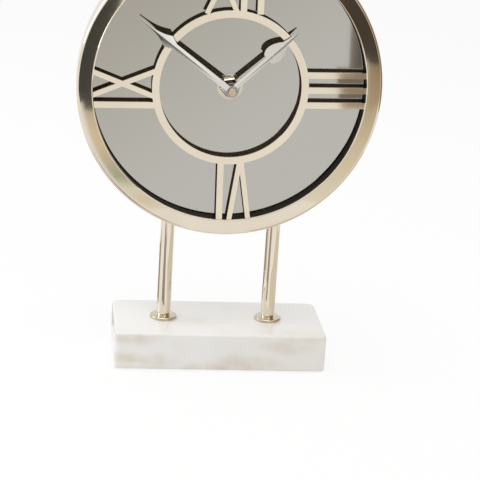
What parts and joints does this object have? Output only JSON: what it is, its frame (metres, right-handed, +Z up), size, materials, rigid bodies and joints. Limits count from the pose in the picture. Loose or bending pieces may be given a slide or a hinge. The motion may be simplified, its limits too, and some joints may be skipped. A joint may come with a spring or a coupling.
{
  "type": "mirror clock",
  "caption": "Standing mirror clock: a nickel case ring with skeleton Roman numerals over a grey mirror, carried on two round posts above a marble block.",
  "frame": {"origin": "centre of the base on the surface it stands on", "axes": "+Z up, dial faces -Y, +X to the viewer's right"},
  "size_m": [0.207, 0.067, 0.3],
  "materials": {
    "marble": "polished white marble with soft beige clouding",
    "felt": "felt",
    "nickel": "polished warm nickel plate",
    "nickel_ring": "polished warm nickel plate",
    "champagne_plate": "satin champagne nickel",
    "steel": "zinc plated",
    "black_spacer": "matt black",
    "grey_mirror": "grey tinted mirror",
    "black_board": "black faced fibreboard",
    "movement_black": "moulded black",
    "rubber_black": "matt",
    "wheel_plastic": "moulded natural white",
    "knob_plastic": "moulded black",
    "brass": "turned",
    "brass_nut": "polished, nickel toned",
    "magnet": "plain",
    "copper_coil": "enamelled wire",
    "circuit_green": "solder mask",
    "battery_wrap": "plain printed sleeve",
    "contact_steel": "nickel plated strip",
    "silver_hand": "polished, ridged"
  },
  "bodies": {
    "clock": {"marble_base": "marble", "base_felt": "felt", "post_left": "nickel", "post_right": "nickel", "flange_left": "nickel", "flange_right": "nickel", "base_bolts": "steel", "base_washers": "steel", "ring_studs": "steel", "case_ring": "nickel_ring", "numeral_plate": "champagne_plate", "dial_spacer": "black_spacer", "mirror_disc": "grey_mirror", "backing_board": "black_board", "board_clips": "steel", "clip_screws": "steel", "movement_housing": "movement_black", "movement_cover": "movement_black", "rubber_washer": "rubber_black", "dial_washer": "nickel", "dial_nut": "nickel", "stator": "steel", "coil": "copper_coil", "circuit_board": "circuit_green", "contact_negative": "contact_steel", "contact_positive": "contact_steel"},
    "minute": {"minute_arbor": "brass", "minute_hand": "silver_hand", "hand_nut": "brass_nut"},
    "hour": {"hour_wheel": "wheel_plastic", "hour_hand": "silver_hand"},
    "works": {"works_wheel": "wheel_plastic"},
    "knob": {"setting_knob": "knob_plastic"},
    "centre": {"centre_wheel": "wheel_plastic"},
    "third": {"third_wheel": "wheel_plastic"},
    "fourth": {"fourth_wheel": "wheel_plastic"},
    "fifth": {"fifth_wheel": "wheel_plastic"},
    "stepper": {"rotor": "magnet"},
    "cell": {"battery": "battery_wrap"}
  },
  "joints": [
    {"name": "minute_turn", "type": "hinge", "parent": "clock", "child": "minute", "pos_m": [0, 0, 0.1965], "axis": [0, 1, 0], "continuous": true},
    {"name": "hour_turn", "type": "hinge", "parent": "clock", "child": "hour", "pos_m": [0, 0, 0.1965], "axis": [0, 1, 0], "continuous": true},
    {"name": "works_turn", "type": "hinge", "parent": "clock", "child": "works", "pos_m": [-0.009, 0, 0.1965], "axis": [0, 1, 0], "continuous": true},
    {"name": "knob_turn", "type": "hinge", "parent": "clock", "child": "knob", "pos_m": [-0.0186, 0, 0.1965], "axis": [0, 1, 0], "continuous": true},
    {"name": "fourth_turn", "type": "hinge", "parent": "clock", "child": "fourth", "pos_m": [0.01141, 0, 0.20737], "axis": [0, 1, 0], "continuous": true},
    {"name": "fifth_turn", "type": "hinge", "parent": "clock", "child": "fifth", "pos_m": [0.01704, 0, 0.21407], "axis": [0, 1, 0], "continuous": true},
    {"name": "rotor_turn", "type": "hinge", "parent": "clock", "child": "stepper", "pos_m": [0.00965, 0, 0.21537], "axis": [0, 1, 0], "continuous": true},
    {"name": "third_turn", "type": "hinge", "parent": "clock", "child": "third", "pos_m": [0.00291, 0, 0.20737], "axis": [0, 1, 0], "continuous": true},
    {"name": "centre_turn", "type": "hinge", "parent": "clock", "child": "centre", "pos_m": [0, 0, 0.1965], "axis": [0, 1, 0], "continuous": true},
    {"name": "battery_out", "type": "slide", "parent": "clock", "child": "cell", "axis": [0, 1, 0], "range_m": [0, 0.03]}
  ],
  "couplings": [
    {"joint": "works_turn", "follows": "minute_turn", "ratio": -0.25},
    {"joint": "hour_turn", "follows": "minute_turn", "ratio": 0.083333},
    {"joint": "knob_turn", "follows": "minute_turn", "ratio": 0.75},
    {"joint": "fifth_turn", "follows": "fourth_turn", "ratio": -6},
    {"joint": "rotor_turn", "follows": "fourth_turn", "ratio": 30},
    {"joint": "third_turn", "follows": "fourth_turn", "ratio": -0.13333},
    {"joint": "centre_turn", "follows": "fourth_turn", "ratio": 0.016667}
  ]
}
